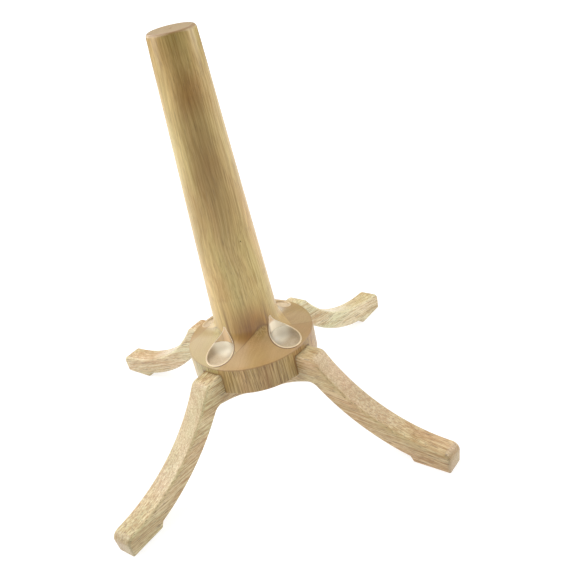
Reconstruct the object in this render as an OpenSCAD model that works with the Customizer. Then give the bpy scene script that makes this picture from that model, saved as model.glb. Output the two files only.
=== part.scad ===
// Wooden mug tree: a turned, tapered post on a flared hub with four curved legs.
// The hub blank is glued up from a square core and four cheeks, then turned.
// Each leg ends in a tongue housed in the underside of the hub. A dowel places the tongue,
// and a bolt pulls it up. The bolt goes down from a pocket in the flare, under a clear cap.
// Millimetres. +Z up, the floor at Z = 0, the post on the Z axis, legs on the diagonals.

/* [Post] */
// Height of the top of the post above the floor
total_h = 360; // [300:1:420]
// Diameter of the post at its top
post_top_d = 38.8; // [30:0.2:50]
// Diameter that the post's taper reaches at the height of the hub's rim
post_base_d = 59.4; // [54:0.2:60]
// Radius that rounds the top edge of the post
top_round = 3; // [1:0.5:6]
// Diameter of the lathe centre mark in the top
centre_mark_d = 1.8; // [1:0.2:4]
// Depth of the lathe centre mark
centre_mark_depth = 1.5; // [0.5:0.5:4]

/* [Hub] */
// Diameter of the hub
hub_d = 115; // [112:1:130]
// Height of the hub's upright side
hub_side_h = 25.4; // [23:0.2:32]
// Height of the underside of the hub above the floor
hub_bottom_z = 63.3; // [62:0.1:66]
// Height that the hollow flare climbs from the rim to the post
flare_h = 24; // [16:0.5:32]
// Power of the flare's curve: smaller is steeper at the post and flatter at the rim
flare_power = 0.38; // [0.3:0.01:0.6]
// Rounding of the hub's two outer edges
hub_edge = 1; // [0.5:0.1:2]

/* [Glued blank] */
// Width of the square core that the post is turned from
core_w = 58; // [57:0.5:60]
// Turn of the blank's square about the post, from the X axis
blank_turn = 23; // [15:1:30]

/* [Legs] */
// Thickness of the board that the legs are sawn from
leg_w = 20; // [16:0.5:24]
// Reach of a leg from the post's axis to its toe
leg_reach = 195; // [180:1:230]
// Height of the top of the arm where it enters the hub
arm_top_z = 82.3; // [80:0.1:83]
// Distance from the axis to the knee, where the top starts to curve down
knee_r = 73.2; // [70:0.1:80]
// Radius of the curve along the top of the leg
top_curve = 148; // [140:1:160]
// Distance from the axis to the crest of the arch under the arm
arch_r = 66; // [63:0.5:68]
// Height of that crest
arch_z = 56.5; // [54:0.5:58]
// Radius of the crest
arch_round = 10; // [8:0.5:12]
// Radius of the curve along the underside of the leg
under_curve = 176; // [160:1:200]
// Height of the leg over its foot
foot_h = 19; // [16:0.5:22]
// Length of the flat pad under the foot
pad_l = 34.5; // [25:0.5:42]
// Rounding at the top of the toe
toe_round = 7; // [4:0.5:10]

/* [Housing] */
// Distance from the axis to the inner end of the tongue
tongue_in_r = 16; // [14:0.5:18]
// Distance from the axis to the shoulder above the tongue
shoulder_r = 51.5; // [50.5:0.1:53]
// Height of the top of the tongue
tongue_top_z = 70; // [68:0.5:72]
// Height of the tail, the lowest part of the tongue, at its inner end
tail_z = 37; // [34:0.5:42]
// Radius of the curve along the underside of the tail
tail_curve = 130; // [90:5:200]
// Rounding of the tail's lower corner
tail_round = 4; // [2:0.5:6]
// Gap on each side of a leg in its housing
housing_gap = 0.3; // [0.1:0.1:0.6]

/* [Pockets and caps] */
// Distance from the axis to the centre of a pocket and its bolt
pocket_r = 42; // [41.5:0.1:43]
// Diameter of a pocket
pocket_d = 26.6; // [24:0.2:27]
// Height of the bottom of a pocket
pocket_z = 86.5; // [85.5:0.1:87]
// Thickness of a cap's floor
cap_floor = 1.5; // [1:0.1:2]
// Thickness of a cap's wall
cap_wall = 1.2; // [0.8:0.1:2]
// Height of the flat top of a cap's wall, at the back of the pocket
cap_top_z = 97.3; // [92:0.1:105]
// Gap between a cap and its pocket
cap_gap = 0.1; // [0.05:0.05:0.3]

/* [Fasteners] */
// Diameter of the bolt thread
bolt_d = 6; // [5:1:6]
// Length of a bolt below its head
bolt_l = 25; // [20:1:25]
// Diameter of the bolt head
bolt_head_d = 10.5; // [9.5:0.1:11]
// Height of the bolt head
bolt_head_h = 3.3; // [2.7:0.1:3.6]
// Width across the flats of the hexagon socket
socket_af = 4; // [3:0.5:4]
// Outside diameter of a washer
washer_d = 12; // [11:0.1:12.6]
// Thickness of a washer
washer_t = 1.6; // [1:0.1:1.8]
// Outside diameter of a threaded insert
insert_d = 10; // [8:0.5:11]
// Length of a threaded insert
insert_l = 12; // [10:0.5:12.5]
// Diameter of a dowel
dowel_d = 8; // [6:1:8]
// Length of a dowel
dowel_l = 24; // [20:1:24]
// Distance from the axis to the centre of a dowel
dowel_r = 25.5; // [24:0.5:27]

/* [Hidden] */

// Directions of the four legs, as angles about the post
FRONT_LEFT = 225;
FRONT_RIGHT = 315;
BACK_RIGHT = 45;
BACK_LEFT = 135;
LEG_ANGLES = [FRONT_LEFT, FRONT_RIGHT, BACK_RIGHT, BACK_LEFT];

$fn = 96;
// Steps along a curve of an outline
arc_steps = 20;
// Overshoot of a cut past the surface that it opens
cut = 1;
// Radial gap around a bolt's shank, and between parts that are pressed or glued in
bolt_gap = 0.3;
fit_gap = 0.05;

hub_r = hub_d / 2;
rim_z = hub_bottom_z + hub_side_h;
flare_top_z = rim_z + flare_h;
post_lean = (post_base_d - post_top_d) / 2 / (total_h - rim_z);
post_r_at_flare = post_base_d / 2 - post_lean * flare_h;
seat_depth = washer_t + bolt_head_h + 0.6;
seat_z = pocket_z - seat_depth;
seat_d = washer_d + 2;
head_z = seat_z + washer_t;
insert_z = tongue_top_z - insert_l;
dowel_z = tongue_top_z - (dowel_l - 1) / 2;
wood = [0.83, 0.70, 0.50];
cheek_wood = [0.78, 0.64, 0.43];
leg_wood = [0.86, 0.75, 0.57];
dowel_wood = [0.74, 0.55, 0.36];
clear_cap = [0.93, 0.90, 0.82, 0.6];
zinc = [0.72, 0.73, 0.75];
brass = [0.80, 0.66, 0.32];

// Points on an arc about a centre, from one angle to another
function arc(centre, r, from, to, steps = arc_steps) =
    [for (i = [0:steps]) let (a = from + (to - from) * i / steps) centre + r * [cos(a), sin(a)]];

// Points on the short arc from p to q: it turns left where r is positive, and right where it is negative
function bend(p, q, r, steps = arc_steps) = let (
    chord = q - p,
    half = norm(chord) / 2,
    to_centre = sign(r) * sqrt(r * r - half * half) / (2 * half),
    centre = (p + q) / 2 + to_centre * [-chord[1], chord[0]],
    from = atan2(p[1] - centre[1], p[0] - centre[0])
) arc(centre, abs(r), from, from + sign(r) * 2 * asin(half / abs(r)), steps);

// Height of the flare at a share s of the way from the post (0) to the rim (1)
function flare_z(s) = rim_z + flare_h * (1 - pow(s, flare_power));

// Half section of the turned blank: hub side, flare, tapered post and rounded top
function turned_outline() = let (
    post_r = post_top_d / 2,
    inner_r = post_r_at_flare,
    edge_r = hub_r - hub_edge
) concat(
    [[0, hub_bottom_z]],
    arc([edge_r, hub_bottom_z + hub_edge], hub_edge, -90, 0, 4),
    arc([edge_r, rim_z - hub_edge], hub_edge, 0, 80, 4),
    [for (i = [arc_steps:-1:0]) let (s = pow(i / arc_steps, 2))
        [inner_r + s * (edge_r - inner_r), flare_z(s)]],
    arc([post_r - top_round, total_h - top_round], top_round, 0, 90, 6),
    [[0, total_h]]
);

// The whole turned blank, before it is divided and cut
module turned_blank() {
    rotate_extrude()
        polygon(turned_outline());
}

// Side outline of a leg, with X as the distance from the post's axis and Y as height
module leg_outline() {
    toe_lean = 1.3;
    pad_h = 5.2;
    pad_round = 3;
    pad_x = leg_reach - toe_lean - pad_l;
    arch_centre = [arch_r, arch_z - arch_round];
    arch_outer = arch_centre + arch_round * [cos(47), sin(47)];
    arch_inner = arch_centre + arch_round * [cos(110), sin(110)];
    polygon(concat(
        [[tongue_in_r, tongue_top_z], [shoulder_r, tongue_top_z], [shoulder_r, arm_top_z]],
        bend([knee_r, arm_top_z], [leg_reach - toe_round, foot_h], top_curve),
        arc([leg_reach - toe_round, foot_h - toe_round], toe_round, 80, 0, 6),
        [[leg_reach - toe_lean, 0]],
        arc([pad_x + pad_round, pad_round], pad_round, 270, 190, 6),
        bend([pad_x - 1.5, pad_h], arch_outer, -under_curve),
        arc(arch_centre, arch_round, 55, 102, 5),
        bend(arch_inner, [tongue_in_r + tail_round, tail_z], tail_curve, 8),
        arc([tongue_in_r + tail_round, tail_z + tail_round], tail_round, 240, 180, 4)
    ));
}

// Puts a part that is drawn on the +X side at a leg's place
module at_leg(angle) {
    rotate([0, 0, angle])
        children();
}

// Puts a part on the centre of a leg's pocket
module at_pocket(angle) {
    at_leg(angle)
        translate([pocket_r, 0, 0])
            children();
}

// Space in the hub for one leg: a deep mouth at the side and a shallow run for the tongue
module leg_housing() {
    slot_w = leg_w + 2 * housing_gap;
    mouth_x = shoulder_r - housing_gap;
    tongue_x = tongue_in_r - housing_gap;
    floor_z = hub_bottom_z - cut;
    translate([mouth_x, -slot_w / 2, floor_z])
        cube([hub_r - mouth_x + cut, slot_w, arm_top_z + housing_gap - floor_z]);
    translate([tongue_x, -slot_w / 2, floor_z])
        cube([mouth_x - tongue_x + cut, slot_w, tongue_top_z - floor_z]);
}

// Everything that is cut out of the glued and turned blank
module hub_cuts() {
    for (angle = LEG_ANGLES) {
        at_leg(angle)
            leg_housing();
        at_pocket(angle) {
            translate([0, 0, pocket_z])
                cylinder(d = pocket_d, h = total_h);
            translate([0, 0, seat_z])
                cylinder(d = seat_d, h = seat_depth + cut);
            translate([0, 0, hub_bottom_z])
                cylinder(d = bolt_d + 2 * bolt_gap, h = seat_depth + hub_side_h);
        }
        at_leg(angle)
            translate([dowel_r, 0, hub_bottom_z])
                cylinder(d = dowel_d + 2 * fit_gap, h = dowel_z + dowel_l + 0.5 - hub_bottom_z);
    }
}

// The column of the blank that the post and the middle of the hub are turned from
module core_block() {
    rotate([0, 0, blank_turn])
        translate([-core_w / 2, -core_w / 2, 0])
            cube([core_w, core_w, total_h + cut]);
}

module column() {
    color(wood)
        difference() {
            intersection() {
                turned_blank();
                core_block();
            }
            hub_cuts();
            translate([0, 0, total_h - centre_mark_depth])
                cylinder(d1 = centre_mark_d / 3, d2 = centre_mark_d, h = centre_mark_depth + 0.01);
        }
}

// Cheek block glued to one face of the core, as wide as width, at a turn about the post
module cheek(turn, width) {
    color(cheek_wood)
        difference() {
            intersection() {
                turned_blank();
                rotate([0, 0, blank_turn + turn])
                    translate([core_w / 2, -width / 2, 0])
                        cube([hub_r, width, total_h]);
            }
            hub_cuts();
        }
}

module leg(angle) {
    color(leg_wood)
        at_leg(angle)
            difference() {
                rotate([90, 0, 0])
                    linear_extrude(leg_w, center = true)
                        leg_outline();
                translate([pocket_r, 0, insert_z - 1])
                    cylinder(d = insert_d + 2 * fit_gap, h = insert_l + 1 + cut);
                translate([dowel_r, 0, dowel_z - 0.5])
                    cylinder(d = dowel_d + 2 * fit_gap, h = dowel_l);
            }
}

// Clear cup in a pocket, with its wall trimmed flush with the flare and level at the back
module cap(angle) {
    outer_d = pocket_d - 2 * cap_gap;
    color(clear_cap)
        intersection() {
            at_pocket(angle)
                translate([0, 0, pocket_z])
                    difference() {
                        cylinder(d = outer_d, h = cap_top_z - pocket_z);
                        translate([0, 0, cap_floor])
                            cylinder(d = outer_d - 2 * cap_wall, h = cap_top_z);
                    }
            turned_blank();
        }
}

// Button-head bolt with a hexagon socket
module bolt(angle) {
    color(zinc)
        at_pocket(angle)
            translate([0, 0, head_z])
                difference() {
                    union() {
                        translate([0, 0, -bolt_l])
                            cylinder(d = bolt_d, h = bolt_l + 0.1);
                        cylinder(d = bolt_head_d, h = bolt_head_h * 0.4);
                        translate([0, 0, bolt_head_h * 0.4])
                            cylinder(d1 = bolt_head_d, d2 = bolt_head_d * 0.6, h = bolt_head_h * 0.6);
                    }
                    translate([0, 0, bolt_head_h * 0.4])
                        cylinder(d = socket_af / cos(30), h = bolt_head_h, $fn = 6);
                }
}

module washer(angle) {
    color(zinc)
        at_pocket(angle)
            translate([0, 0, seat_z])
                difference() {
                    cylinder(d = washer_d, h = washer_t);
                    translate([0, 0, -cut])
                        cylinder(d = bolt_d + 0.4, h = washer_t + 2 * cut);
                }
}

// Threaded insert: a ribbed sleeve in the top of the tongue
module insert(angle) {
    ribs = 5;
    rib_pitch = insert_l / ribs;
    rib_h = 0.4;
    color(brass)
        at_pocket(angle)
            translate([0, 0, insert_z])
                difference() {
                    rotate_extrude()
                        polygon(concat(
                            [[0, 0]],
                            [for (i = [0:ribs - 1], k = [0, 1]) [insert_d / 2 - rib_h * (1 - k),
                                rib_pitch * (i + k * 0.7)]],
                            [[insert_d / 2 - rib_h, insert_l], [0, insert_l]]
                        ));
                    translate([0, 0, -cut])
                        cylinder(d = bolt_d + 2 * fit_gap, h = insert_l + 2 * cut);
                }
}

// Dowel with chamfered ends, glued across the joint between a tongue and the hub
module dowel(angle) {
    chamfer = 1;
    color(dowel_wood)
        at_leg(angle)
            translate([dowel_r, 0, dowel_z]) {
                cylinder(d1 = dowel_d - 2 * chamfer, d2 = dowel_d, h = chamfer);
                translate([0, 0, chamfer])
                    cylinder(d = dowel_d, h = dowel_l - 2 * chamfer);
                translate([0, 0, dowel_l - chamfer])
                    cylinder(d1 = dowel_d, d2 = dowel_d - 2 * chamfer, h = chamfer);
            }
}

column();
cheek(270, hub_d);  // cheek_front
cheek(0, core_w);  // cheek_right
cheek(90, hub_d);  // cheek_back
cheek(180, core_w);  // cheek_left
leg(FRONT_LEFT);  // leg_front_left
leg(FRONT_RIGHT);  // leg_front_right
leg(BACK_RIGHT);  // leg_back_right
leg(BACK_LEFT);  // leg_back_left
cap(FRONT_LEFT);  // cap_front_left
cap(FRONT_RIGHT);  // cap_front_right
cap(BACK_RIGHT);  // cap_back_right
cap(BACK_LEFT);  // cap_back_left
bolt(FRONT_LEFT);  // bolt_front_left
bolt(FRONT_RIGHT);  // bolt_front_right
bolt(BACK_RIGHT);  // bolt_back_right
bolt(BACK_LEFT);  // bolt_back_left
washer(FRONT_LEFT);  // washer_front_left
washer(FRONT_RIGHT);  // washer_front_right
washer(BACK_RIGHT);  // washer_back_right
washer(BACK_LEFT);  // washer_back_left
insert(FRONT_LEFT);  // insert_front_left
insert(FRONT_RIGHT);  // insert_front_right
insert(BACK_RIGHT);  // insert_back_right
insert(BACK_LEFT);  // insert_back_left
dowel(FRONT_LEFT);  // dowel_front_left
dowel(FRONT_RIGHT);  // dowel_front_right
dowel(BACK_RIGHT);  // dowel_back_right
dowel(BACK_LEFT);  // dowel_back_left
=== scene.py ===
import math

import bmesh
import bpy
from mathutils import Matrix, Vector


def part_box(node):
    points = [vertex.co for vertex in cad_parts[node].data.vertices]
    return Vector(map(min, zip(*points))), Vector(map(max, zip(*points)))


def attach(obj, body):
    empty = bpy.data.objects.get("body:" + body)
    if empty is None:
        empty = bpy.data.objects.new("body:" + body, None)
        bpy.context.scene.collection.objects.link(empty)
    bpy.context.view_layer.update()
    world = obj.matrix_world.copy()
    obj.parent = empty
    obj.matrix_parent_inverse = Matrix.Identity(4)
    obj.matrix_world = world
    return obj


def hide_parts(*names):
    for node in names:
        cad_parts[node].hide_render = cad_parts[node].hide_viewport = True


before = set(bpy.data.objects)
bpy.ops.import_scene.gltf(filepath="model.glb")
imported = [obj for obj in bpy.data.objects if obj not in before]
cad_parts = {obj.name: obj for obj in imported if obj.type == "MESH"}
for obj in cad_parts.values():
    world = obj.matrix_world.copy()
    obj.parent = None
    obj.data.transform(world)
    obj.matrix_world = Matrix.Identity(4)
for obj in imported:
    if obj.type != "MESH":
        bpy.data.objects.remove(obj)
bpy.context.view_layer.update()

MM = 0.001

# ---------------------------------------------------------------- names and sizes

# Leg names and the directions they point in, in degrees about the post
LEGS = {"front_left": 225, "front_right": 315, "back_right": 45, "back_left": 135}
TURNED_PIECES = ("column", "cheek_front", "cheek_right", "cheek_back", "cheek_left")

column_low, column_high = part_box("column")
TOP_Z = column_high.z
HUB_LOW_Z = column_low.z
HUB_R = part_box("cheek_back")[1].y
TOP_R = 19.4 * MM
BASE_R = 29.7 * MM
TOP_ROUND = 3 * MM
RIM_Z = HUB_LOW_Z + 25.4 * MM
HUB_EDGE = 1 * MM
FLARE_H = 24 * MM
FLARE_POWER = 0.38
# The square core of the glued blank, and how far it is turned in degrees
CORE_W = 58 * MM
BLANK_TURN = 23
# Clearances of the caps, of the dowels and inserts, and of the washers
CAP_GAP = 0.1 * MM
FIT_GAP = 0.05 * MM
WASHER_GAP = 1 * MM

cap_low, cap_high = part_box("cap_back_right")
CAP_R = (cap_high.x - cap_low.x) / 2
CAP_Z = cap_low.z
CAP_TOP_Z = cap_high.z
CAP_WALL = 1.2 * MM
CAP_FLOOR = 1.5 * MM
POCKET_CENTRE_R = math.hypot((cap_low.x + cap_high.x) / 2, (cap_low.y + cap_high.y) / 2)
POCKET_R = CAP_R + CAP_GAP

washer_low, washer_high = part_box("washer_back_right")
SEAT_Z = washer_low.z
SEAT_R = (washer_high.x - washer_low.x) / 2 + WASHER_GAP
BOLT_HOLE_R = 3.3 * MM

dowel_low, dowel_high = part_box("dowel_back_right")
DOWEL_HOLE_R = (dowel_high.x - dowel_low.x) / 2 + FIT_GAP
DOWEL_CENTRE_R = math.hypot((dowel_low.x + dowel_high.x) / 2, (dowel_low.y + dowel_high.y) / 2)
insert_low, insert_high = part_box("insert_back_right")
INSERT_HOLE_R = (insert_high.x - insert_low.x) / 2 + FIT_GAP

LEG_W = 20 * MM
leg_low, leg_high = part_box("leg_back_right")
LEG_REACH = leg_high.x * math.sqrt(2) - LEG_W / 2
ARM_TOP_Z = leg_high.z
TONGUE_IN_R = leg_low.x * math.sqrt(2) + LEG_W / 2
TONGUE_TOP_Z = insert_high.z
SHOULDER_R = 51.5 * MM
HOUSING_GAP = 0.3 * MM


# ---------------------------------------------------------------- outlines

def arc(centre, radius, start, end, steps=20):
    """Points on an arc about a centre, from one angle to another, in degrees."""
    points = []
    for i in range(steps + 1):
        a = math.radians(start + (end - start) * i / steps)
        points.append(Vector(centre) + radius * Vector((math.cos(a), math.sin(a))))
    return points


def bend(p, q, radius, steps=20):
    """Points on the short arc from p to q, which turns left where radius is positive."""
    p, q = Vector(p), Vector(q)
    chord = q - p
    half = chord.length / 2
    side = math.copysign(1, radius)
    to_centre = side * math.sqrt(radius ** 2 - half ** 2) / (2 * half)
    centre = (p + q) / 2 + to_centre * Vector((-chord.y, chord.x))
    start = math.degrees(math.atan2(p.y - centre.y, p.x - centre.x))
    sweep = side * 2 * math.degrees(math.asin(half / abs(radius)))
    return arc(centre, abs(radius), start, start + sweep, steps)


def rounded_corner(before, corner, after, radius):
    """Points that round the corner between two straight stretches."""
    to_before = (before - corner).normalized()
    to_after = (after - corner).normalized()
    half = to_before.angle(to_after) / 2
    reach = radius / math.tan(half)
    turn = to_before.x * to_after.y - to_before.y * to_after.x
    start, end = corner + to_before * reach, corner + to_after * reach
    return bend(start, end, radius if turn < 0 else -radius, 6)


def inset(outline, depth):
    """A closed clockwise outline with every side moved inwards."""
    moved = []
    for i, point in enumerate(outline):
        before = (point - outline[i - 1]).normalized()
        after = (outline[(i + 1) % len(outline)] - point).normalized()
        inward_before = Vector((before.y, -before.x))
        inward = (inward_before + Vector((after.y, -after.x))).normalized()
        moved.append(point + inward * depth / inward.dot(inward_before))
    return moved


def post_radius(z):
    """Radius of the post's taper at a height."""
    return BASE_R + (TOP_R - BASE_R) * (z - RIM_Z) / (TOP_Z - RIM_Z)


def flare_height(r):
    """Height of the hub's hollow flare at a distance from the post's axis."""
    inner = post_radius(RIM_Z + FLARE_H)
    share = (r - inner) / (HUB_R - HUB_EDGE - inner)
    return RIM_Z + FLARE_H * (1 - max(share, 0) ** FLARE_POWER)


def turned_outline():
    """Half section of the turned blank, from the middle of its underside to the centre of its top."""
    edge_r = HUB_R - HUB_EDGE
    inner = post_radius(RIM_Z + FLARE_H)
    flare_steps, post_steps = 48, 24
    # The flare's points crowd towards the post, where it is steep
    crowding = 2.5
    mark_r, mark_depth = 0.9 * MM, 1.5 * MM
    points = [Vector((0, HUB_LOW_Z))]
    points += arc((edge_r, HUB_LOW_Z + HUB_EDGE), HUB_EDGE, -90, 0, 6)
    points += arc((edge_r, RIM_Z - HUB_EDGE), HUB_EDGE, 0, 80, 6)
    for i in range(flare_steps, -1, -1):
        r = inner + (i / flare_steps) ** crowding * (edge_r - inner)
        points.append(Vector((r, flare_height(r))))
    low, high = RIM_Z + FLARE_H, TOP_Z - TOP_ROUND
    for i in range(1, post_steps):
        z = low + (high - low) * i / post_steps
        points.append(Vector((post_radius(z), z)))
    points += arc((TOP_R - TOP_ROUND, high), TOP_ROUND, 0, 90, 8)
    points += [Vector((mark_r, TOP_Z)), Vector((0, TOP_Z - mark_depth))]
    return points


def leg_outline():
    """Side outline of a leg: distance from the post's axis, and height."""
    arm_end, knee = Vector((62 * MM, ARM_TOP_Z)), Vector((73.2 * MM, ARM_TOP_Z))
    knee_round = 8 * MM
    foot_h, toe_round, toe_lean = 19 * MM, 7 * MM, 1.3 * MM
    toe_x = LEG_REACH - toe_round
    pad_x = LEG_REACH - toe_lean - 34.5 * MM
    pad_h, pad_round, heel_lean = 5.2 * MM, 3 * MM, 1.5 * MM
    arch_round = 10 * MM
    arch_centre = Vector((66 * MM, 56.5 * MM - arch_round))
    arch_outer, arch_inner = arc(arch_centre, arch_round, 47, 110, 1)
    tail_round = 4 * MM
    tail = Vector((TONGUE_IN_R + tail_round, 37 * MM))
    top_curve, under_curve, tail_curve = 148 * MM, 176 * MM, 130 * MM

    top = bend(knee, (toe_x, foot_h), top_curve, 36)
    points = [Vector((TONGUE_IN_R, TONGUE_TOP_Z)), Vector((SHOULDER_R, TONGUE_TOP_Z))]
    points += [Vector((SHOULDER_R, ARM_TOP_Z)), arm_end]
    points += rounded_corner(arm_end, knee, top[2], knee_round) + top[2:]
    points += arc((toe_x, foot_h - toe_round), toe_round, 80, 0, 8)
    points += [Vector((LEG_REACH - toe_lean, 0))]
    points += arc((pad_x + pad_round, pad_round), pad_round, 270, 190, 6)
    points += bend((pad_x - heel_lean, pad_h), arch_outer, -under_curve, 32)
    points += arc(arch_centre, arch_round, 55, 102, 6)
    points += bend(arch_inner, tail, tail_curve, 12)
    points += arc(tail + Vector((0, tail_round)), tail_round, 240, 180, 5)
    return points


# ---------------------------------------------------------------- meshes

def link(name, data):
    """A new object in the scene that shows a mesh, a lamp or a camera."""
    item = bpy.data.objects.new(name, data)
    bpy.context.scene.collection.objects.link(item)
    return item


def loft(name, rings, place=Matrix(), closed=False):
    """Solid skin over rings of points. A ring may be a single point, and open ends are filled."""
    bm = bmesh.new()
    loops = [[bm.verts.new(place @ Vector(point)) for point in ring] for ring in rings]
    count = max(len(loop) for loop in loops)
    pairs = list(zip(loops, loops[1:]))
    if closed:
        pairs.append((loops[-1], loops[0]))
    for low, high in pairs:
        for i in range(count):
            j = (i + 1) % count
            corners = (low[i % len(low)], low[j % len(low)], high[j % len(high)], high[i % len(high)])
            bm.faces.new(dict.fromkeys(corners))
    if not closed:
        for loop in (loops[0], loops[-1]):
            if len(loop) > 1:
                bm.faces.new(loop)
    bmesh.ops.recalc_face_normals(bm, faces=bm.faces)
    mesh = bpy.data.meshes.new(name)
    bm.to_mesh(mesh)
    bm.free()
    return link(name, mesh)


def turned(name, outline, segments=256, place=Matrix()):
    """Solid turned about Z from a half section that starts and ends on the axis."""
    rings = []
    for r, z in outline:
        turns = [2 * math.pi * i / segments for i in range(segments if r > 0 else 1)]
        rings.append([(r * math.cos(a), r * math.sin(a), z) for a in turns])
    return loft(name, rings, place)


def cylinder(radius, low, high, place=Matrix(), segments=64):
    """A plain cylinder, used only to cut with."""
    return turned("cutter", [(0, low), (radius, low), (radius, high), (0, high)], segments, place)


def board(name, outline, half_width, place):
    """An outline in the XZ plane, thickened both ways along Y."""
    rings = [[(x, y, z) for x, z in outline] for y in (half_width, -half_width)]
    return loft(name, rings, place)


def carve(piece, cutters, operation="DIFFERENCE"):
    """Cuts a piece with solids, keeps what is inside them or joins them to it, and deletes the solids."""
    for cutter in cutters:
        modifier = piece.modifiers.new("carve", "BOOLEAN")
        modifier.solver = "MANIFOLD"
        modifier.operation = operation
        modifier.object = cutter
    graph = bpy.context.evaluated_depsgraph_get()
    mesh = bpy.data.meshes.new_from_object(piece.evaluated_get(graph))
    piece.modifiers.clear()
    piece.data = mesh
    for cutter in cutters:
        bpy.data.objects.remove(cutter)


def smooth(piece, sharp_angle=32):
    """Smooth shading, with edges sharper than the angle left sharp."""
    piece.data.shade_smooth()
    piece.data.set_sharp_from_angle(angle=math.radians(sharp_angle))


def stand_for(node, piece):
    """Puts a piece under the root body and hides the CAD node that it stands for."""
    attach(piece, "root")
    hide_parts(node)


def leg_place(leg):
    """Turns a part that is drawn on the +X side to a leg's direction."""
    return Matrix.Rotation(math.radians(LEGS[leg]), 4, "Z")


def pocket_place(leg):
    """As leg_place, with the part centred on the leg's pocket."""
    return leg_place(leg) @ Matrix.Translation((POCKET_CENTRE_R, 0, 0))


def dowel_place(leg):
    """As leg_place, with the part centred on the leg's dowel."""
    return leg_place(leg) @ Matrix.Translation((DOWEL_CENTRE_R, 0, 0))


# ---------------------------------------------------------------- turned post and hub

def hub_cutters(leg):
    """What is cut out of the hub for one leg: pocket and bolt hole, dowel hole and housing."""
    beyond, dowel_relief = 3 * MM, 0.5 * MM
    bore = [
        (0, HUB_LOW_Z - beyond), (BOLT_HOLE_R, HUB_LOW_Z - beyond), (BOLT_HOLE_R, SEAT_Z),
        (SEAT_R, SEAT_Z), (SEAT_R, CAP_Z), (POCKET_R, CAP_Z), (POCKET_R, TOP_Z), (0, TOP_Z),
    ]
    mouth_r, tongue_r = SHOULDER_R - HOUSING_GAP, TONGUE_IN_R - HOUSING_GAP
    housing = [
        (tongue_r, HUB_LOW_Z - beyond), (tongue_r, TONGUE_TOP_Z), (mouth_r, TONGUE_TOP_Z),
        (mouth_r, ARM_TOP_Z + HOUSING_GAP), (HUB_R + beyond, ARM_TOP_Z + HOUSING_GAP),
        (HUB_R + beyond, HUB_LOW_Z - beyond),
    ]
    return [
        turned("cutter", bore, 128, pocket_place(leg)),
        board("cutter", housing, LEG_W / 2 + HOUSING_GAP, leg_place(leg)),
        cylinder(DOWEL_HOLE_R, HUB_LOW_Z, dowel_high.z + dowel_relief, dowel_place(leg)),
    ]


def pin_hole():
    """The tiny hole of a pin in the front of the post."""
    radius, depth, beyond = 0.5 * MM, 2 * MM, 2 * MM
    height, direction = 189.5 * MM, -63.3
    surface = post_radius(height)
    place = Matrix.Translation((0, 0, height))
    place @= Matrix.Rotation(math.radians(direction), 4, "Z") @ Matrix.Rotation(math.pi / 2, 4, "Y")
    return cylinder(radius, surface - depth, surface + beyond, place, 16)


def blank_block(low, high):
    """A box in the frame of the glued blank, in its square's own X and Y."""
    top = TOP_Z + 1 * MM
    outline = [(low[0], 0), (low[0], top), (high[0], top), (high[0], 0)]
    place = Matrix.Rotation(math.radians(BLANK_TURN), 4, "Z")
    place @= Matrix.Translation((0, (low[1] + high[1]) / 2, 0))
    return board("block", outline, (high[1] - low[1]) / 2, place)


def make_turned_pieces():
    """The column and the four cheeks: one blank, turned and cut, then parted at its glue lines."""
    blank = turned("blank", turned_outline())
    cutters = [pin_hole()]
    for leg in LEGS:
        cutters += hub_cutters(leg)
    carve(blank, cutters)
    half, far = CORE_W / 2, HUB_R + 2 * MM
    blocks = {
        "column": ((-half, -half), (half, half)),
        "cheek_front": ((-far, -far), (far, -half)),
        "cheek_back": ((-far, half), (far, far)),
        "cheek_right": ((half, -half), (far, half)),
        "cheek_left": ((-far, -half), (-half, half)),
    }
    pieces = {}
    for name, (low, high) in blocks.items():
        piece = link("turned_" + name, blank.data.copy())
        carve(piece, [blank_block(low, high)], "INTERSECT")
        smooth(piece)
        stand_for(name, piece)
        pieces[name] = piece
    bpy.data.objects.remove(blank)
    return pieces


# ---------------------------------------------------------------- legs

def make_leg(leg):
    """A sawn leg with every long edge rounded over, and holes for its insert and dowel."""
    half = LEG_W / 2
    edge_round, flat_margin, steps = 2.4 * MM, 0.4 * MM, 6
    relief, beyond = 0.5 * MM, 1 * MM
    outline = leg_outline()
    section = [(edge_round + flat_margin, half)]
    for i in range(steps + 1):
        a = math.pi / 2 * i / steps
        section.append((edge_round * (1 - math.sin(a)), half - edge_round * (1 - math.cos(a))))
    section += [(depth, -across) for depth, across in reversed(section)]
    rings = [[(p.x, across, p.y) for p in inset(outline, depth)] for depth, across in section]
    piece = loft("sawn_leg_" + leg, rings, leg_place(leg))
    carve(piece, [
        cylinder(INSERT_HOLE_R, insert_low.z - relief, insert_high.z + beyond, pocket_place(leg)),
        cylinder(DOWEL_HOLE_R, dowel_low.z - relief, dowel_high.z, dowel_place(leg)),
    ])
    smooth(piece)
    stand_for("leg_" + leg, piece)
    return piece


# ---------------------------------------------------------------- caps

def lip_height(radius, a):
    """Height of a cap's lip at a radius and angle about its pocket: on the flare, or level."""
    r = math.hypot(POCKET_CENTRE_R + radius * math.cos(a), radius * math.sin(a))
    return min(flare_height(r), CAP_TOP_Z)


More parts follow.
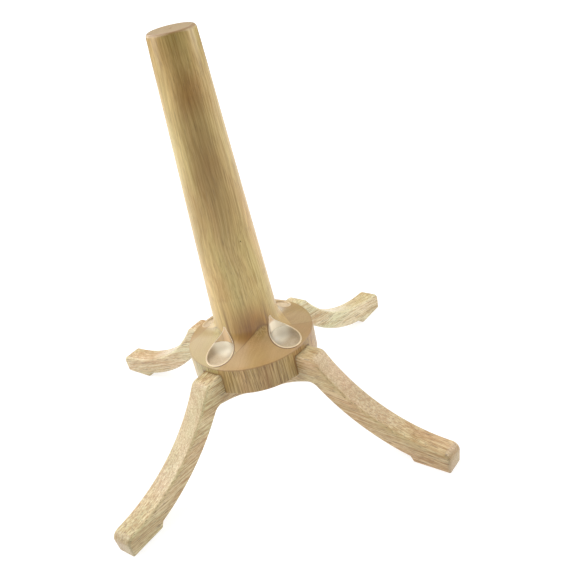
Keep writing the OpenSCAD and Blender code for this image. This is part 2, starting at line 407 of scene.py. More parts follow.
def cap_section(a):
    """A cap's section at an angle: radius and height, from the outside of its foot to its floor."""
    foot_round, floor_fillet, fillet_steps = 0.5 * MM, 5 * MM, 4
    lip_rise, lip_drop, lip_in = 0.1 * MM, 0.3 * MM, 0.15 * MM
    lip_shoulder = 0.7 * (lip_rise + lip_drop)
    floor_z = CAP_Z + CAP_FLOOR
    inner_r, mid_r = CAP_R - CAP_WALL, CAP_R - CAP_WALL / 2
    outer_z, inner_z = lip_height(CAP_R, a) - lip_drop, lip_height(inner_r, a) - lip_drop
    fillet = min(floor_fillet, 0.8 * (inner_z - floor_z))
    points = [(CAP_R - foot_round, CAP_Z), (CAP_R, CAP_Z + foot_round), (CAP_R, outer_z)]
    points += [(CAP_R - lip_in, outer_z + lip_shoulder), (mid_r, lip_height(mid_r, a) + lip_rise)]
    points += [(inner_r + lip_in, inner_z + lip_shoulder), (inner_r, inner_z)]
    for i in range(fillet_steps + 1):
        t = math.pi / 2 * i / fillet_steps
        points.append((inner_r - fillet * (1 - math.cos(t)), floor_z + fillet * (1 - math.sin(t))))
    return points


def make_cap(leg):
    """A moulded cup in a pocket. Its wall follows the flare and is level at the back."""
    count = 144
    turns = [2 * math.pi * i / count for i in range(count)]
    sections = [cap_section(a) for a in turns]
    rings = [[(0, 0, CAP_Z)]]
    for points in zip(*sections):
        rings.append([(r * math.cos(a), r * math.sin(a), z) for a, (r, z) in zip(turns, points)])
    rings.append([(0, 0, CAP_Z + CAP_FLOOR)])
    piece = loft("moulded_cap_" + leg, rings, pocket_place(leg))
    carve(piece, [pocket_bead(leg)], "UNION")
    smooth(piece, 40)
    stand_for("cap_" + leg, piece)
    return piece


def pocket_bead(leg):
    """Thin round lip of a cap, along the whole edge of its pocket up to the tip on the post."""
    count, sides, radius = 160, 10, 0.2 * MM
    edge_r = POCKET_R - CAP_GAP / 2
    # The points crowd towards the tip, where the edge turns sharply
    crowding = 1.6
    path = []
    for i in range(count):
        share = 2 * i / count - 1
        a = math.pi * math.copysign(1 - (1 - abs(share)) ** crowding, share)
        x, y = edge_r * math.cos(a), edge_r * math.sin(a)
        path.append(Vector((x, y, flare_height(math.hypot(POCKET_CENTRE_R + x, y)))))
    turns = [2 * math.pi * k / sides for k in range(sides)]
    rings = []
    for i, point in enumerate(path):
        along = (path[(i + 1) % count] - path[i - 1]).normalized()
        outward = Vector((point.x, point.y, 0)).normalized()
        outward = (outward - along * outward.dot(along)).normalized()
        up = along.cross(outward)
        rings.append([point + radius * (math.cos(t) * outward + math.sin(t) * up) for t in turns])
    return loft("cutter", rings, pocket_place(leg), closed=True)


# ---------------------------------------------------------------- shader nodes

def add(tree, kind, inputs=None, **settings):
    """Adds a shader node. An input given a socket is linked to it, and any other value is set."""
    node = tree.nodes.new("ShaderNode" + kind)
    for key, value in settings.items():
        setattr(node, key, value)
    for key, value in (inputs or {}).items():
        if isinstance(value, bpy.types.NodeSocket):
            tree.links.new(value, node.inputs[key])
        else:
            node.inputs[key].default_value = value
    return node


def new_material(name, **shader_values):
    """A material with a principled shader, whose plain values are set on its own sockets."""
    material = bpy.data.materials.new(name)
    material.use_nodes = True
    tree = material.node_tree
    shader = tree.nodes["Principled BSDF"]
    for key, value in shader_values.items():
        shader.inputs[key.replace("_", " ")].default_value = value
    return material, tree, shader


def math_node(tree, operation, *values):
    """The result of one operation on sockets or numbers."""
    return add(tree, "Math", dict(enumerate(values)), operation=operation).outputs[0]


def product(tree, first, *others):
    """Values multiplied together."""
    for other in others:
        first = math_node(tree, "MULTIPLY", first, other)
    return first


def gap(tree, value, target):
    """How far a value is from a target, either way."""
    return math_node(tree, "ABSOLUTE", math_node(tree, "SUBTRACT", value, target))


def vector_node(tree, operation, *values):
    """The result of one operation on vectors: a number for a length or the like, or else a vector."""
    node = add(tree, "VectorMath", dict(enumerate(values)), operation=operation)
    measures = operation in ("LENGTH", "DISTANCE", "DOT_PRODUCT")
    return node.outputs["Value" if measures else "Vector"]


def scaled(tree, vector, factor):
    """A vector times a number."""
    return add(tree, "VectorMath", {0: vector, "Scale": factor}, operation="SCALE").outputs[0]


def coordinate(tree, place, axis):
    """How far along an axis, X, Y or Z, a place lies."""
    return add(tree, "SeparateXYZ", {0: place}).outputs[axis]


def level(tree, place):
    """A place with its height left out."""
    return vector_node(tree, "MULTIPLY", place, (1, 1, 0))


def from_axis(tree, place):
    """Distance of a place from the Z axis."""
    return vector_node(tree, "LENGTH", level(tree, place))


def millimetres(tree, coordinates):
    """The place on the piece in millimetres, in the frame of the whole object."""
    return scaled(tree, coordinates.outputs["Object"], 1 / MM)


def remap(tree, value, low, high, to_low=0.0, to_high=1.0):
    """A value stretched smoothly from one range to another, and held at its ends."""
    node = add(tree, "MapRange", {
        "Value": value, "From Min": low, "From Max": high, "To Min": to_low, "To Max": to_high,
    }, interpolation_type="SMOOTHSTEP")
    return node.outputs["Result"]


def mix(tree, factor, first, second, blend="MIX"):
    """Two colours mixed by a factor."""
    node = add(tree, "Mix", {0: factor, 6: first, 7: second}, data_type="RGBA", blend_type=blend)
    return node.outputs[2]


def noise(tree, position, frequency, detail=2.0, roughness=0.5):
    """Noise from 0 to 1 over a position in millimetres, with its frequency along X, Y and Z."""
    texture = add(tree, "TexNoise", {
        "Vector": vector_node(tree, "MULTIPLY", position, frequency),
        "Scale": 1.0, "Detail": detail, "Roughness": roughness})
    return texture.outputs["Fac"]


def grain_noise(tree, log, across, along, detail=2.0, roughness=0.5):
    """Noise in a log, with its frequency across and along the fibres."""
    return noise(tree, log, (across, across, along), detail, roughness)


def add_bump(tree, shader, height, strength, distance):
    """Tilts a shader's normals by a height, at a depth in metres."""
    bump = add(tree, "Bump", {"Height": height, "Strength": strength, "Distance": distance})
    tree.links.new(bump.outputs[0], shader.inputs["Normal"])


# ---------------------------------------------------------------- the grain of wood

def grain_position(tree, position, grain, offset):
    """A position turned so that the grain runs along Z, and moved to its own place in the log."""
    turn = Vector(grain).normalized().rotation_difference(Vector((0, 0, 1))).to_euler()
    return add(tree, "Mapping", {
        "Vector": position, "Rotation": turn, "Location": offset}).outputs[0]


def pulled_in(tree, place):
    """Moves places on the flare in to the post's surface, so that streaks run on down the flare."""
    # The post's radius where the flare begins
    surface = BASE_R / MM - 0.9
    r = from_axis(tree, place)
    share = math_node(tree, "MINIMUM", math_node(tree, "DIVIDE", surface, r), 1.0)
    inwards = scaled(tree, level(tree, place), share)
    drop = math_node(tree, "MAXIMUM", math_node(tree, "SUBTRACT", r, surface), 0.0)
    height = math_node(tree, "SUBTRACT", coordinate(tree, place, "Z"), drop)
    return vector_node(tree, "ADD", inwards, add(tree, "CombineXYZ", {"Z": height}).outputs[0])


def wavy(tree, log, reach):
    """Lets the fibres wander sideways along the grain."""
    frequency, middle = (0.014, 0.014, 0.014), (0.5, 0.5, 0.5)
    texture = add(tree, "TexNoise", {
        "Vector": vector_node(tree, "MULTIPLY", log, frequency), "Scale": 1.0, "Detail": 1.0})
    centred = vector_node(tree, "SUBTRACT", texture.outputs["Color"], middle)
    return vector_node(tree, "ADD", log, vector_node(tree, "MULTIPLY", centred, (reach, reach, 0)))


def growth_rings(tree, log):
    """Uneven rings about the log's axis, from 0 to 1."""
    wander_reach, frequency = 26.0, 0.42
    wander = grain_noise(tree, log, 0.02, 0.006, 3.0, 0.6)
    radius = math_node(tree, "MULTIPLY_ADD", wander, wander_reach, from_axis(tree, log))
    texture = add(tree, "TexNoise", {
        "W": radius, "Scale": frequency, "Detail": 2.0, "Roughness": 0.65}, noise_dimensions="1D")
    return remap(tree, texture.outputs["Fac"], 0.32, 0.68)


def wood_depth(tree, log, fibres, streak_gain, figure, run, fineness):
    """How far the wood is from its pale to its dark colour: rings, slow changes, streaks and fibres."""
    ring_share, tone_share, streak_share = 0.22, 0.35, 0.45
    # These are taken off, so that stronger figure or streaks don't change the mean tone
    figure_middle, fine_middle = 0.28, 0.72
    tone = remap(tree, grain_noise(tree, log, 0.035, 0.010), 0.3, 0.7)
    streak = grain_noise(tree, log, 0.75 * fineness, 0.035 / run, 2.0, 0.6)
    streak = remap(tree, streak, 0.3, 0.7)
    fine = math_node(tree, "MULTIPLY_ADD", streak, streak_share, fibres)
    fine = math_node(tree, "SUBTRACT", fine, fine_middle)
    depth = product(tree, growth_rings(tree, log), ring_share * figure)
    depth = math_node(tree, "MULTIPLY_ADD", tone, tone_share * figure, depth)
    depth = math_node(tree, "ADD", depth, 0.5 - figure_middle * figure)
    return math_node(tree, "MULTIPLY_ADD", fine, streak_gain, depth)


def flecks(tree, log):
    """Short flecks in sawn wood, a little paler or darker than the wood about them."""
    return remap(tree, grain_noise(tree, log, 0.75, 0.22, 3.0, 0.6), 0.35, 0.65, -0.16, 0.16)


def uneven_hue(tree, log, colour):
    """Slow changes of hue, from reddish to greenish."""
    reddish, greenish = (1.055, 0.985, 0.96, 1), (0.955, 1.01, 0.925, 1)
    hue = remap(tree, grain_noise(tree, log, 0.05, 0.012), 0.3, 0.7)
    return mix(tree, 1.0, colour, mix(tree, hue, reddish, greenish), "MULTIPLY")


def stained_and_shaded(tree, place, colour, stains_and_shade):
    """Darkens round patches, stains and painted shade, which reach further up and down than across."""
    squash, tint = Vector((1, 1, 0.6)), (0.70, 0.46, 0.25, 1)
    squashed = vector_node(tree, "MULTIPLY", place, squash)
    for centre, spread, strength in stains_and_shade:
        away = vector_node(tree, "DISTANCE", squashed, Vector(centre) * squash)
        patch = remap(tree, away, 0.0, spread, strength, 0.0)
        colour = mix(tree, patch, colour, mix(tree, 1.0, colour, tint, "MULTIPLY"))
    return colour


def painted_edge_highlight(tree, coordinates, across):
    """Where a painted highlight goes: strongest halfway round a long rounded edge, and nothing on the flat
    faces beside it.
    """
    strength = 2.2
    sideways = vector_node(tree, "DOT_PRODUCT", coordinates.outputs["Normal"], across)
    square = product(tree, sideways, sideways)
    return product(tree, math_node(tree, "SUBTRACT", 1.0, square), square, strength)


# ---------------------------------------------------------------- marks on the turned wood

def top_ring(tree, place, colour):
    """Pales the post's top, and darkens the front of its rounded edge with painted shade, where little of
    the lamps' light falls.
    """
    pale_top, front_edge_shade = (0.50, 0.375, 0.23, 1), (0.26, 0.13, 0.035, 1)
    height, r = coordinate(tree, place, "Z"), from_axis(tree, place)
    top = math_node(tree, "GREATER_THAN", height, TOP_Z / MM - 0.3)
    around_mark = remap(tree, r, 0.7, 1.6, 0.0, 0.85)
    colour = mix(tree, product(tree, top, around_mark), colour, pale_top)
    # Painted shade along the front of the rounded top edge
    ring = remap(tree, gap(tree, r, (TOP_R - TOP_ROUND / 2) / MM), 0.3, 1.5, 0.7, 0.0)
    front = remap(tree, coordinate(tree, place, "Y"), -8.0, 4.0, 1.0, 0.0)
    high = math_node(tree, "GREATER_THAN", height, (TOP_Z - TOP_ROUND) / MM)
    return mix(tree, product(tree, ring, front, high), colour, front_edge_shade)


def spliced(tree, place, colour, pale):
    """Lightens the post below the toothed joint of its two lengths of wood."""
    joint_z, blur, strength = 140.0, 2.5, 0.16
    slant, tooth_w, tooth_steepness = 0.25, 4.0, 0.5
    x = coordinate(tree, place, "X")
    slope = math_node(tree, "MULTIPLY_ADD", x, -slant, coordinate(tree, place, "Z"))
    # Teeth are counted from 100 mm to the left, so that the count is never negative
    teeth = math_node(tree, "PINGPONG", math_node(tree, "ADD", x, 100.0), tooth_w)
    height = math_node(tree, "MULTIPLY_ADD", teeth, -tooth_steepness, slope)
    return mix(tree, remap(tree, height, joint_z, joint_z + blur, strength, 0.0), colour, pale)


def forward_of_pockets(tree, place):
    """How far a place lies to the front of the two front pockets' own radial lines, sideways."""
    to_side = math_node(tree, "ABSOLUTE", coordinate(tree, place, "X"))
    sum_of_both = math_node(tree, "ADD", to_side, coordinate(tree, place, "Y"))
    return math_node(tree, "DIVIDE", sum_of_both, -math.sqrt(2))


def pocket_walls(tree, place, colour):
    """Evens out the pockets' walls, paints a lamp's reflection on the wood wall of one of them, and paints
    a shadow line along an edge of the front two.
    """
    even_wood, painted_reflection = (0.76, 0.54, 0.33, 1), (0.95, 0.86, 0.68, 1)
    gap_shadow = (0.20, 0.11, 0.04, 1)
    side = POCKET_CENTRE_R / MM / math.sqrt(2)
    edge = POCKET_R / MM
    tip_z = flare_height(POCKET_CENTRE_R - POCKET_R) / MM
    reflection_z = 106
    height, flat = coordinate(tree, place, "Z"), level(tree, place)
    from_any = vector_node(tree, "DISTANCE", vector_node(tree, "ABSOLUTE", flat), (side, side, 0))
    below_tip = remap(tree, height, tip_z - 1, tip_z + 0.5, 0.75, 0.0)
    inside = math_node(tree, "LESS_THAN", from_any, edge + 0.1)
    colour = mix(tree, product(tree, inside, below_tip), colour, even_wood)
    # Painted reflection of a lamp on the wood wall of the front right pocket
    from_front_right = vector_node(tree, "DISTANCE", flat, (side, -side, 0))
    inside = math_node(tree, "LESS_THAN", from_front_right, edge + 0.1)
    reflection = remap(tree, height, reflection_z - 1.5, reflection_z + 1.5, 0.9, 0.0)
    colour = mix(tree, product(tree, inside, reflection), colour, painted_reflection)
    # Painted shadow line just outside the front pockets, on their front sides
    line = remap(tree, gap(tree, from_any, edge + 0.6), 0.35, 1.1, 0.9, 0.0)
    forward = remap(tree, forward_of_pockets(tree, place), 1.0, 6.0)
    return mix(tree, product(tree, line, forward), colour, gap_shadow)


def glue_lines(tree, place, colour):
    """Darkens the thin lines where the cheeks are glued to the core."""
    glue_brown = (0.18, 0.09, 0.03, 1)
    line_w, least, most = 0.6, 0.28, 0.45
    half = CORE_W / 2 / MM
    blank = add(tree, "Mapping", {
        "Vector": place, "Rotation": (0, 0, -math.radians(BLANK_TURN))}).outputs[0]
    near_x = math_node(tree, "ABSOLUTE", coordinate(tree, blank, "X"))
    near_y = math_node(tree, "ABSOLUTE", coordinate(tree, blank, "Y"))
    # The side cheeks' lines end at the front and back ones, which run right across
    beyond = math_node(tree, "GREATER_THAN", near_y, half)
    line_x = math_node(tree, "ADD", gap(tree, near_x, half), beyond)
    line_y = gap(tree, near_y, half)
    line = remap(tree, math_node(tree, "MINIMUM", line_x, line_y), 0.0, line_w)
    line = math_node(tree, "SUBTRACT", 1.0, line)
    strength = remap(tree, from_axis(tree, place), half + 1, half + 16, most, 0.0)
    front = remap(tree, coordinate(tree, place, "Y"), -26.0, -20.0, 1.0, 0.0)
    strength = math_node(tree, "MULTIPLY_ADD", strength, front, least)
    return mix(tree, product(tree, line, strength), colour, glue_brown)


def rim_line(tree, place, colour):
    """Darkens a thin line round the hub's side, just below the rim of the flare."""
    rim_brown = (0.30, 0.17, 0.07, 1)
    from_rim = gap(tree, coordinate(tree, place, "Z"), RIM_Z / MM - 0.7)
    outside = math_node(tree, "GREATER_THAN", from_axis(tree, place), HUB_R / MM - 1.2)
    line = product(tree, remap(tree, from_rim, 0.2, 0.9, 0.5, 0.0), outside)
    return mix(tree, line, colour, rim_brown)


def notch_shadows(tree, place, colour):
    """Darkens the hub's side round each leg with painted shadow, where the corner beside the leg falls in
    shade.
    """
    notch_shadow_brown = (0.26, 0.14, 0.05, 1)
    quarter = vector_node(tree, "ABSOLUTE", place)
    across = gap(tree, coordinate(tree, quarter, "X"), coordinate(tree, quarter, "Y"))
    across = math_node(tree, "DIVIDE", across, math.sqrt(2))
    beside = math_node(tree, "SUBTRACT", across, LEG_W / 2 / MM)
    above = math_node(tree, "SUBTRACT", coordinate(tree, quarter, "Z"), ARM_TOP_Z / MM)
    away = math_node(tree, "MAXIMUM", beside, above)
    outside = math_node(tree, "GREATER_THAN", from_axis(tree, place), HUB_R / MM - 0.6)
    # Painted shadow in the corners beside each leg
    edge = product(tree, remap(tree, away, 0.4, 2.6, 0.7, 0.0), outside)
    return mix(tree, edge, colour, notch_shadow_brown)


# ---------------------------------------------------------------- materials

# Pale, dark and end-grain colours of each wood
POST_TONES = ((0.655, 0.50, 0.205), (0.32, 0.185, 0.040), (0.425, 0.26, 0.09))
CHEEK_TONES = {
    "cheek_front": ((0.53, 0.36, 0.15), (0.245, 0.133, 0.035), (0.40, 0.237, 0.083)),
    "cheek_right": ((0.60, 0.48, 0.225), (0.30, 0.19, 0.056), (0.38, 0.228, 0.086)),
    "cheek_back": ((0.51, 0.36, 0.155), (0.245, 0.138, 0.038), (0.395, 0.24, 0.09)),
    "cheek_left": ((0.54, 0.43, 0.19), (0.26, 0.17, 0.048), (0.42, 0.30, 0.12)),
}
DOWEL_TONES = ((0.55, 0.36, 0.20), (0.36, 0.21, 0.10), (0.48, 0.31, 0.17))
LEG_TONES = {
    "front_left": ((0.65, 0.565, 0.34), (0.375, 0.232, 0.092), (0.55, 0.435, 0.262)),
    "front_right": ((0.62, 0.48, 0.285), (0.37, 0.205, 0.072), (0.52, 0.38, 0.22)),
    "back_right": ((0.71, 0.64, 0.42), (0.455, 0.305, 0.135), (0.605, 0.52, 0.345)),
    "back_left": ((0.655, 0.565, 0.365), (0.435, 0.27, 0.12), (0.56, 0.46, 0.29)),
}
# Tilt of the grain of each leg against the floor, in degrees: positive climbs away from the post
GRAIN_TILT = {"front_left": 8, "front_right": -4, "back_right": -13, "back_left": -20}
# Darker patches of the post, the two lowest being painted shade in the crease where it meets the flare: a
# direction and a height on its surface, a radius and a strength
POST_PATCHES_AND_SHADE = (
    (-100, 345, 14, 0.35), (-88, 315, 17, 0.8), (-87, 290, 18, 0.4), (-84, 262, 22, 0.6),
    (-82, 235, 26, 0.4), (-78, 205, 30, 0.35), (-96, 105, 22, 1.05), (-72, 103, 25, 1.45))
# How pale the plastic of each cap is, as a share of the palest: the front two are darker, partly for the
# wood under them and partly as painted shade that evens out the light in their pockets
CAP_TONE_AND_SHADE = {"front_left": 0.93, "front_right": 0.85, "back_right": 1.0, "back_left": 1.0}


def wood(name, grain, offset, tones, streaks=1.0, figure=1.0, run=1.0, fineness=1.0, stains_and_shade=(),
         across=None):
    """Lacquered rubberwood: growth rings, fibres, pores and slow changes of tone.

    grain is the direction of the fibres, and offset the place in the log in millimetres.
    tones are the pale, dark and end-grain colours. Across the fibres the streaks fade out.
    run is how far the streaks run along the grain, and streaks and figure are their strengths.
    fineness makes the streaks narrower.
    The darker patches are stains and painted shade: each has its centre in millimetres, its radius and its
    strength.
    across is the level direction across a leg, whose wood is flecked, and painted paler as a highlight
    along its rounded edges.
    """
    pale, dark, end_tone = ((*tone, 1) for tone in tones)
    wave_reach, end_strength = 13, 0.75
    pore_brown, pore_strength, pore_sink = (0.16, 0.095, 0.04, 1), 0.42, 0.8
    material, tree, shader = new_material(
        name, Coat_Weight=0.4, Coat_Roughness=0.18, Coat_IOR=1.5, IOR=1.45)
    coordinates = add(tree, "TexCoord")
    place = millimetres(tree, coordinates)
    log = grain_position(tree, pulled_in(tree, place) if name == "column" else place, grain, offset)
    log = wavy(tree, log, wave_reach / run)
    facing = vector_node(tree, "DOT_PRODUCT", coordinates.outputs["Normal"], Vector(grain).normalized())
    end_grain = remap(tree, math_node(tree, "ABSOLUTE", facing), 0.2, 0.95)
    fade = 0.8 if across is None else 0.35
    streak_gain = math_node(tree, "MULTIPLY_ADD", end_grain, -fade * streaks, streaks)
    fibres = grain_noise(tree, log, 1.4 * fineness, 0.10 / run, 3.0, 0.7)
    pores = remap(tree, grain_noise(tree, log, 1.5, 0.19 / run), 0.56, 0.68)

    depth = wood_depth(tree, log, fibres, streak_gain, figure, run, fineness)
    if across is None:
        colour = mix(tree, depth, pale, dark)
    else:
        colour = mix(tree, math_node(tree, "ADD", depth, flecks(tree, log)), pale, dark)
        # Painted highlight along the legs' rounded edges
        colour = mix(tree, painted_edge_highlight(tree, coordinates, across), colour, pale)
    colour = uneven_hue(tree, log, colour)
    colour = mix(tree, product(tree, end_grain, end_strength * fade), colour, end_tone)
    colour = stained_and_shaded(tree, place, colour, stains_and_shade)
    if name == "column":
        colour = spliced(tree, place, top_ring(tree, place, colour), pale)
    colour = mix(tree, product(tree, pores, pore_strength, streak_gain), colour, pore_brown)
    if name in TURNED_PIECES:
        for add_marks in (pocket_walls, glue_lines, rim_line, notch_shadows):
            colour = add_marks(tree, place, colour)
    tree.links.new(colour, shader.inputs["Base Color"])

    tree.links.new(remap(tree, fibres, 0.3, 0.7, 0.40, 0.54), shader.inputs["Roughness"])
    relief = math_node(tree, "MULTIPLY_ADD", pores, -pore_sink, fibres)
    add_bump(tree, shader, relief, 0.16, 0.4 * MM)
    return material


def toned(colour, tone):
    """A colour made darker by a tone below 1, and opaque."""
    return (*(part * tone for part in colour), 1)


def cap_plastic(leg):
    """Milky clear plastic over wood: tan over the floor and in the lip, and creamy in the wall."""
    # The cap's tone, partly painted shade
    tone = CAP_TONE_AND_SHADE[leg]
    floor_pale, floor_dark = toned((0.64, 0.52, 0.36), tone), toned((0.58, 0.465, 0.315), tone)
    wall_painted_light, wall_painted_shade = toned((0.94, 0.86, 0.69), tone), toned((0.52, 0.44, 0.325), tone)
    lip_tan = (0.68, 0.54, 0.34, 1)
    bead_plain, bead_highlight = (0.70, 0.56, 0.36, 1), (0.90, 0.78, 0.57, 1)
    material, tree, shader = new_material(
        "cap_plastic_" + leg, Coat_Weight=0.25, Coat_Roughness=0.12, IOR=1.35,
        Subsurface_Weight=0.1, Subsurface_Radius=(1.0, 0.9, 0.75), Subsurface_Scale=2 * MM)
    place = millimetres(tree, add(tree, "TexCoord"))
    centre = pocket_place(leg).translation / MM
    from_centre = vector_node(tree, "DISTANCE", level(tree, place), (centre.x, centre.y, 0))
    inner_r, outer_r = (CAP_R - CAP_WALL) / MM, CAP_R / MM

    cloud = remap(tree, noise(tree, place, (0.25, 0.25, 0.25), 3.0, 0.6), 0.35, 0.65)
    colour = mix(tree, cloud, floor_pale, floor_dark)
    colour = mix(tree, remap(tree, from_centre, inner_r, inner_r + 0.4), colour, lip_tan)
    # The wall on the post's side is creamy, painted paler where it falls in shade and painted darker
    # towards the front, where the lamps reach it
    across = pocket_place(leg).col[1].xyz
    towards_front = -across if across.y > 0 else across
    beside = remap(tree, vector_node(tree, "DOT_PRODUCT", place, towards_front), -2.0, 8.0)
    wall_colour = mix(tree, beside, wall_painted_light, wall_painted_shade)
    middle_r = POCKET_CENTRE_R / MM
    outer = remap(tree, from_axis(tree, place), middle_r - 7, middle_r + 1)
    colour = mix(tree, outer, wall_colour, colour)
    # Painted highlight on the bead, bright round the front pockets and faint round the back ones
    forward = remap(tree, forward_of_pockets(tree, place), -9.0, -3.0)
    bead_colour = mix(tree, forward, bead_plain, bead_highlight)
    colour = mix(tree, remap(tree, from_centre, outer_r - 0.2, outer_r + 0.1), colour, bead_colour)
    tree.links.new(colour, shader.inputs["Base Color"])

    scuffs = noise(tree, place, (1.2, 1.2, 1.2), 3.0, 0.7)
    tree.links.new(remap(tree, scuffs, 0.3, 0.7, 0.22, 0.38), shader.inputs["Roughness"])
    return material


def metal(name, pale, dark, mark_frequency=(0.6, 0.6, 6.0)):
    """Plated or brass metal, with fine turning marks around it and slight tarnish."""
    material, tree, shader = new_material(name, Metallic=1.0)
    place = millimetres(tree, add(tree, "TexCoord"))
    tarnish = remap(tree, noise(tree, place, (0.4, 0.4, 0.4), 4.0, 0.6), 0.35, 0.7)
    tree.links.new(mix(tree, tarnish, (*pale, 1), (*dark, 1)), shader.inputs["Base Color"])
    marks = noise(tree, place, mark_frequency)
    tree.links.new(remap(tree, marks, 0.3, 0.7, 0.22, 0.42), shader.inputs["Roughness"])
    add_bump(tree, shader, marks, 0.1, 0.2 * MM)
    return material


def set_material(piece, material):
    """Gives a piece one material in all its slots."""
    if not piece.material_slots:
        piece.data.materials.append(material)
    for slot in piece.material_slots:
        slot.material = material


def post_stains_and_shade():
    """The post's centre mark and darker patches, some of them painted shade: centres in millimetres, radii
    and strengths.
    """
    mark_spread, mark_strength = 2.6, 2.0
    stains_and_shade = [((0, 0, TOP_Z / MM), mark_spread, mark_strength)]
    for direction, height, spread, strength in POST_PATCHES_AND_SHADE:
        r, a = post_radius(height * MM) / MM, math.radians(direction)
        stains_and_shade.append(((r * math.cos(a), r * math.sin(a), height), spread, strength))
    return stains_and_shade


def leg_grain(leg):
    """Direction of the fibres of a leg."""
    tilt, turn = math.radians(GRAIN_TILT[leg]), math.radians(LEGS[leg])
    return math.cos(turn) * math.cos(tilt), math.sin(turn) * math.cos(tilt), math.sin(tilt)


def make_materials(turned_pieces, legs, caps):
    """Gives every made piece and every node that is shown from CAD its material."""
    # Each piece comes from its own place in the log, this far across from the last one's
    log_step = 170
    upright = (0, 0, 1)
    for i, name in enumerate(TURNED_PIECES):
        offset = (70 + log_step * i, 35 - log_step * i, 300 * i)
        if name == "column":
            material = wood(name, upright, offset, POST_TONES, streaks=0.75, run=2.0, stains_and_shade=post_stains_and_shade())
        else:
            material = wood(name, upright, offset, CHEEK_TONES[name], streaks=1.9, run=3.0, fineness=1.35)
        set_material(turned_pieces[name], material)
    zinc = metal("zinc", (0.72, 0.73, 0.75), (0.55, 0.56, 0.58))
    brass = metal("brass", (0.80, 0.62, 0.30), (0.62, 0.45, 0.20))
    dowel_wood = wood("dowel_wood", upright, (-120, 60, 0), DOWEL_TONES)
    for i, leg in enumerate(LEGS):
        offset = (45 + log_step * i, -60 - log_step * i, 500 * i)
        material = wood("leg_wood_" + leg, leg_grain(leg), offset, LEG_TONES[leg], streaks=1.8,
                        figure=1.2, run=2.0, across=leg_place(leg).col[1].xyz)
        set_material(legs[leg], material)
        set_material(caps[leg], cap_plastic(leg))
        for kind, material in (("bolt", zinc), ("washer", zinc), ("insert", brass), ("dowel", dowel_wood)):
            set_material(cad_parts[kind + "_" + leg], material)


# ---------------------------------------------------------------- stage

# Each lamp's name, its direction and elevation in degrees, its distance, width and height in
# metres, and its power in watts
SOFTBOXES = (
    ("left_light", -95, 25, 1.3, 0.9, 1.3, 11.0),
    ("right_light", 95, 25, 1.3, 0.9, 1.3, 13.0),
    ("back_left_light", -140, 30, 1.4, 1.0, 1.2, 9.0),
    ("back_right_light", 140, 30, 1.4, 1.0, 1.2, 3.8),
    ("high_left_light", -90, 60, 1.3, 1.0, 1.0, 9.0),
    ("high_right_light", 90, 60, 1.3, 1.0, 1.0, 3.0),
    ("high_back_light", 180, 60, 1.4, 1.0, 1.0, 3.6),
)
# A small lamp close in front of the hub, in the same order
HUB_FILL = ("hub_fill_light", 0, 12, 0.17, 0.2, 0.08, 0.06)


def make_camera():
    """The camera: high in front of the object and close to it, tilted to its own left."""
    azimuth, elevation, roll = (math.radians(a) for a in (-2.735, 28.784, -12.761))
    target, distance = Vector((42.06, -6.09, 127.11)) * MM, 661.8 * MM
    data = bpy.data.cameras.new("camera")
    data.lens = 46.91
    data.sensor_width = 36
    camera = link("camera", data)
    stand = Matrix.Rotation(azimuth, 4, "Z") @ Matrix.Rotation(math.pi / 2 - elevation, 4, "X")
    aim = stand @ Matrix.Translation((0, 0, distance)) @ Matrix.Rotation(roll, 4, "Z")
    camera.matrix_world = Matrix.Translation(target) @ aim
    bpy.context.scene.camera = camera


def aim_lamp(lamp, target, azimuth, elevation, distance):
    """Puts a lamp in a direction and at a distance from its target, and points it there."""
    turn = Matrix.Rotation(math.radians(azimuth), 4, "Z")
    turn @= Matrix.Rotation(math.radians(90 - elevation), 4, "X")
    lamp.matrix_world = Matrix.Translation(target) @ turn @ Matrix.Translation((0, 0, distance))


def hide_from_view(lamp):
    """Keeps a close lamp out of the picture and out of reflections."""
    lamp.visible_camera = False
    lamp.visible_glossy = False


def softbox(name, azimuth, elevation, distance, width, height, power, aim_z=TOP_Z / 2):
    """An area light, placed around the object by direction and aimed at a height on its axis."""
    light = bpy.data.lights.new(name, "AREA")
    light.shape = "RECTANGLE"
    light.size, light.size_y = width, height
    light.energy = power
    lamp = link(name, light)
    aim_lamp(lamp, (0, 0, aim_z), azimuth, elevation, distance)
    return lamp


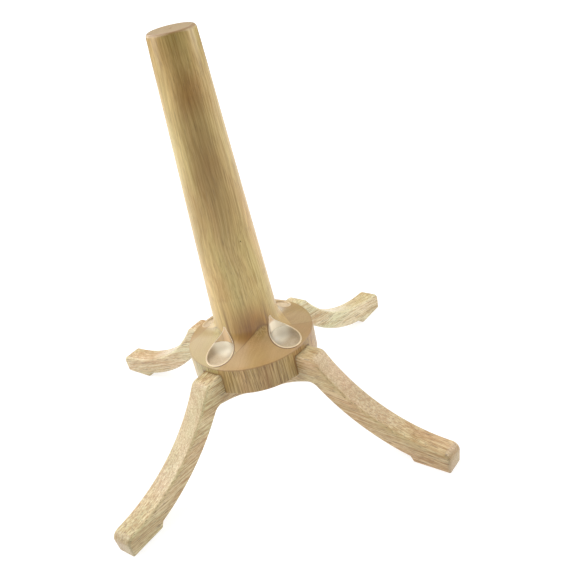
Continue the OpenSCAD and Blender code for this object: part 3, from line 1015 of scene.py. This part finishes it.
def pocket_light(leg):
    """A narrow spot from the front that brightens the wall of one pocket's cap."""
    elevation, distance, beam_angle, power = 18, 0.25, 5.5, 0.55
    light = bpy.data.lights.new("pocket_light_" + leg, "SPOT")
    light.spot_size = math.radians(beam_angle)
    light.spot_blend = 0.7
    light.shadow_soft_size = 0.01
    light.energy = power
    lamp = link("pocket_light_" + leg, light)
    target = pocket_place(leg).translation
    aim_lamp(lamp, (target.x, target.y, CAP_TOP_Z), 0, elevation, distance)
    hide_from_view(lamp)


def make_lights():
    """Large lamps round the object, and three small ones for the front of the hub."""
    for row in SOFTBOXES:
        softbox(*row)
    hide_from_view(softbox(*HUB_FILL, aim_z=RIM_Z))
    pocket_light("front_left")
    pocket_light("front_right")


def make_world(background, surroundings):
    """White behind the object, and white light from all round, at their own strengths."""
    white = (1, 1, 1, 1)
    world = bpy.data.worlds.new("studio")
    bpy.context.scene.world = world
    world.use_nodes = True
    tree = world.node_tree
    shown = tree.nodes["Background"]
    shown.inputs["Color"].default_value = white
    shown.inputs["Strength"].default_value = background
    ambient = add(tree, "Background", {"Color": white, "Strength": surroundings})
    path = add(tree, "LightPath")
    either = add(tree, "MixShader", {
        0: path.outputs["Is Camera Ray"], 1: ambient.outputs[0], 2: shown.outputs[0]})
    tree.links.new(either.outputs[0], tree.nodes["World Output"].inputs["Surface"])


def make_floor():
    """A plain white floor, lit from within so that only faint contact shadows show."""
    half, thickness = 1.6, 0.02
    glow_near, glow_far = 0.76, 1.05
    outline = [(-half, -thickness), (-half, 0), (half, 0), (half, -thickness)]
    floor = board("floor", outline, half, Matrix())
    material, tree, shader = new_material(
        "floor", Roughness=0.9, Base_Color=(0.35, 0.35, 0.35, 1), Emission_Color=(1, 1, 1, 1))
    place = millimetres(tree, add(tree, "TexCoord"))
    away = vector_node(tree, "LENGTH", place)
    glow = remap(tree, away, 150, 900, glow_near, glow_far)
    tree.links.new(glow, shader.inputs["Emission Strength"])
    set_material(floor, material)


make_camera()
turned_pieces = make_turned_pieces()
legs = {leg: make_leg(leg) for leg in LEGS}
caps = {leg: make_cap(leg) for leg in LEGS}
make_materials(turned_pieces, legs, caps)
make_floor()
make_world(background=1.3, surroundings=0.02)
make_lights()
bpy.context.scene.view_settings.view_transform = "Standard"
